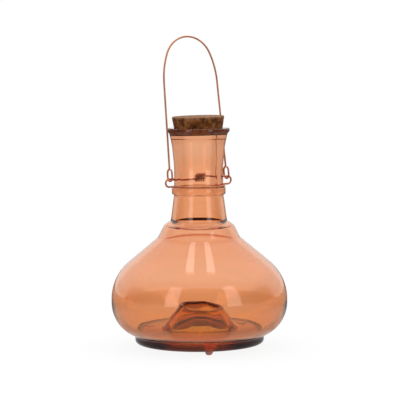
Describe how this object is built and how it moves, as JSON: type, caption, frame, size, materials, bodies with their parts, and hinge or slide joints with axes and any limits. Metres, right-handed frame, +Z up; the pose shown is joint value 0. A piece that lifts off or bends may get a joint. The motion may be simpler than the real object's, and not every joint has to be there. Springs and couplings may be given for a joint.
{
  "type": "glass fly trap",
  "caption": "Amber glass carafe-shaped fly trap with an entrance funnel in its base, a cork in the flared mouth and a copper wire bail hinged on a wire collar round the neck.",
  "frame": {"origin": "on the axis of the glass, in the plane of the feet's tips", "axes": "+Z up along the axis of the glass, X along the hinge of the bail, +Y towards the side that the bail leans to"},
  "size_m": [0.1454, 0.1454, 0.2568],
  "materials": {
    "glass": "clear amber tinted glass, fire polished",
    "cork": "dark natural cork, matt and pitted",
    "copper_wire": "copper coloured drawn wire, satin"
  },
  "bodies": {
    "vessel": {"glass_vessel": "glass", "neck_wire": "copper_wire", "binding_wire": "copper_wire"},
    "cork": {"cork_stopper": "cork"},
    "bail": {"bail": "copper_wire"}
  },
  "joints": [
    {"name": "bail_swing", "type": "hinge", "parent": "vessel", "child": "bail", "pos_m": [0, 0, 0.1402], "axis": [1, 0, 0], "range_deg": [-117, 133]},
    {"name": "cork_lift", "type": "slide", "parent": "vessel", "child": "cork", "axis": [0, 0, 1], "range_m": [0, 0.03]}
  ]
}
